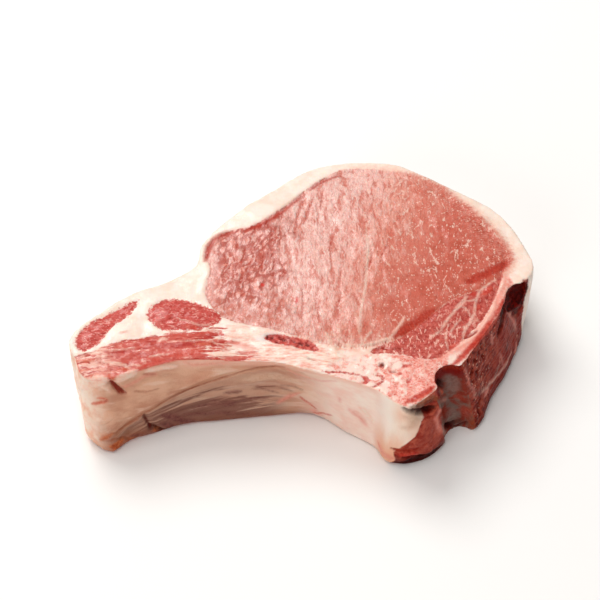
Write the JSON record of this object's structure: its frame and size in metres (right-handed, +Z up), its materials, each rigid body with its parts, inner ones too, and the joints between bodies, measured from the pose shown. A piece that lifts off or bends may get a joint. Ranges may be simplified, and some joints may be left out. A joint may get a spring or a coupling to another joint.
{
  "type": "pork chop",
  "caption": "Raw thick-cut bone-in pork rib chop: pink loin eye in a rim of white back fat, with split backbone, rib and belly tail.",
  "frame": {"origin": "middle of the chop's footprint, on its lower cut face", "axes": "+X from the belly end of the rib to the split backbone, +Y from the rib cage to the back fat, +Z up through the chop's thickness"},
  "size_m": [0.149, 0.1034, 0.0323],
  "materials": {
    "pale_lean": "moist",
    "marbled_lean": "moist",
    "dark_lean": "moist",
    "rib_lean": "moist",
    "fat": "waxy",
    "rib_bone": "porous",
    "bone": "porous"
  },
  "bodies": {
    "root": {"eye_muscle": "pale_lean", "marbled_muscle": "marbled_lean", "belly_oval_muscle": "dark_lean", "belly_strip_muscle": "dark_lean", "rib_meat": "rib_lean", "back_fat": "fat", "rib_bone": "rib_bone", "backbone": "bone"}
  },
  "joints": []
}
